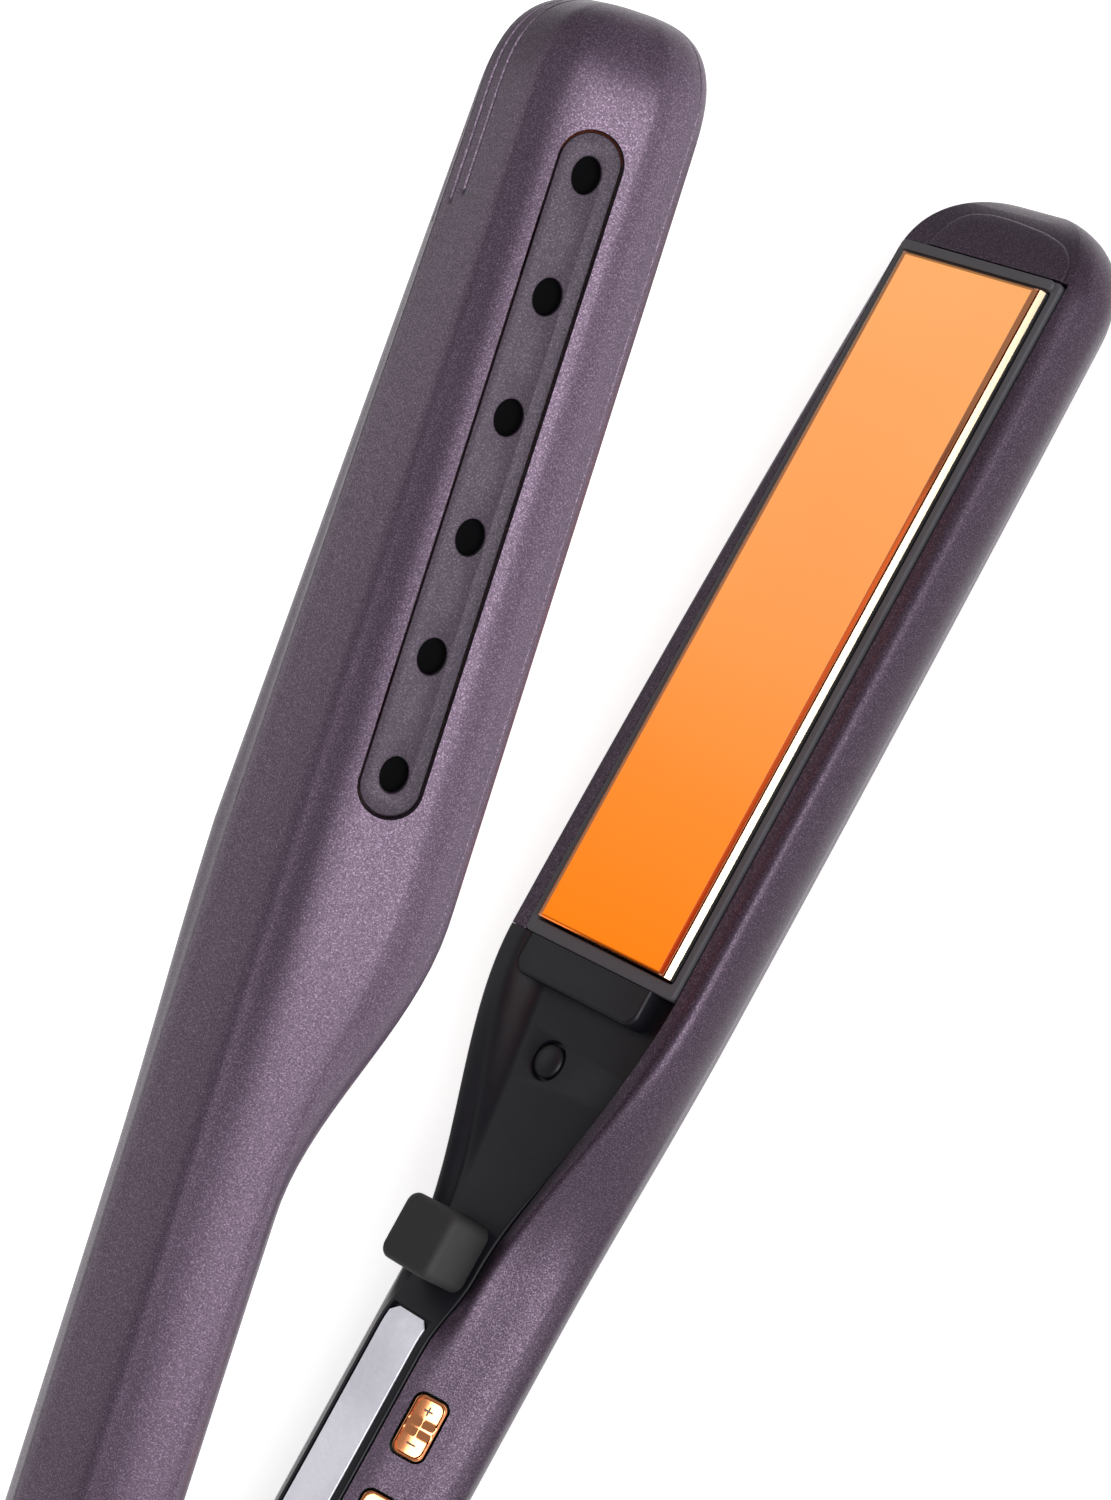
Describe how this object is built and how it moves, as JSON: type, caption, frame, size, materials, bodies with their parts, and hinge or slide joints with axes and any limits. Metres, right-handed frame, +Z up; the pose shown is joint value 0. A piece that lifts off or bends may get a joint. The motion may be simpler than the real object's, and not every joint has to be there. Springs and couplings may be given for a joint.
{
  "type": "flat iron",
  "caption": "Open hair straightener: two rounded aubergine arms on a sprung rear hinge, floating gold plates, vented outer shell, mirror keys.",
  "frame": {"origin": "on the lower arm's flat spine, in its middle plane, under the rear end of its plate", "axes": "+X across the plates along the hinge axis towards the side with the keys, +Y from the hinge towards the tips, +Z up from the lower arm towards the upper arm"},
  "size_m": [0.0353, 0.2633, 0.1032],
  "materials": {
    "purple_shell": "satin metallic aubergine paint with a fine sparkle",
    "vent_plastic": "satin, slightly darker aubergine",
    "black_plastic": "fine satin",
    "grey_frame": "fine textured grey",
    "gold_plate": "polished, orange-gold mirror coating",
    "rose_chrome": "rose-gold mirror",
    "black_rubber": "matt",
    "silver_label": "satin silver foil, blank",
    "steel": "plain",
    "board_green": "circuit board",
    "heater_ceramic": "unglazed ceramic heater body",
    "mica_sheet": "mica insulation sheet",
    "cushion_silicone": "red-brown silicone",
    "component_black": "moulded epoxy",
    "inspection_brass": "plain"
  },
  "bodies": {
    "lower_arm": {"button_board": "board_green", "capacitor": "steel", "gland_collar": "black_plastic", "hinge_cap_far": "rose_chrome", "hinge_cap_near": "rose_chrome", "hinge_pin": "steel", "hinge_spring": "steel", "lower_cushion_front": "cushion_silicone", "lower_cushion_rear": "cushion_silicone", "lower_inner_cover": "black_plastic", "lower_plate_frame": "grey_frame", "lower_screw_plug": "black_plastic", "lower_shell": "purple_shell", "lower_vent_strip": "vent_plastic", "main_board": "board_green", "power_switch": "component_black", "rating_label": "silver_label", "relay": "component_black", "stop_block": "black_rubber", "temp_switch": "component_black", "triac": "component_black"},
    "lower_plate_body": {"lower_plate": "gold_plate", "lower_heater": "heater_ceramic", "lower_insulator": "mica_sheet", "thermistor": "inspection_brass"},
    "upper_plate_body": {"upper_plate": "gold_plate", "upper_heater": "heater_ceramic", "upper_insulator": "mica_sheet", "thermal_fuse": "steel"},
    "upper_arm": {"upper_shell": "purple_shell", "upper_inner_cover": "black_plastic", "upper_plate_frame": "grey_frame", "upper_vent_strip": "vent_plastic", "strike_pad": "black_rubber", "upper_screw_plug": "black_plastic", "upper_cushion_front": "cushion_silicone", "upper_cushion_rear": "cushion_silicone"},
    "temp_key": {"temp_rocker": "rose_chrome"},
    "power_key": {"power_button": "rose_chrome"},
    "cord_swivel": {"cord_swivel": "black_plastic"}
  },
  "joints": [
    {"name": "main_hinge", "type": "hinge", "parent": "lower_arm", "child": "upper_arm", "pos_m": [0, -0.1445, 0.0205], "axis": [1, 0, 0], "range_deg": [-15.5, 0], "stiffness_Nm_per_rad": 0.5, "springref_deg": 20.05},
    {"name": "lower_plate_float", "type": "slide", "parent": "lower_arm", "child": "lower_plate_body", "axis": [0, 0, -1], "range_m": [0, 0.0008], "stiffness_N_per_m": 6000, "springref_m": -0.0003},
    {"name": "upper_plate_float", "type": "slide", "parent": "upper_arm", "child": "upper_plate_body", "axis": [0, -0.2672, 0.9636], "range_m": [0, 0.0008], "stiffness_N_per_m": 6000, "springref_m": -0.0003},
    {"name": "temp_rock", "type": "hinge", "parent": "lower_arm", "child": "temp_key", "pos_m": [0.00695, -0.0625, 0.01418], "axis": [0.7169, 0, -0.6972], "range_deg": [-2.5, 2.5], "stiffness_Nm_per_rad": 0.02},
    {"name": "power_press", "type": "slide", "parent": "lower_arm", "child": "power_key", "axis": [-0.6972, 0, -0.7169], "range_m": [0, 0.0005], "stiffness_N_per_m": 600, "springref_m": -0.0002},
    {"name": "cord_turn", "type": "hinge", "parent": "lower_arm", "child": "cord_swivel", "pos_m": [0, -0.13, 0.0071], "axis": [0, 1, 0], "continuous": true}
  ]
}
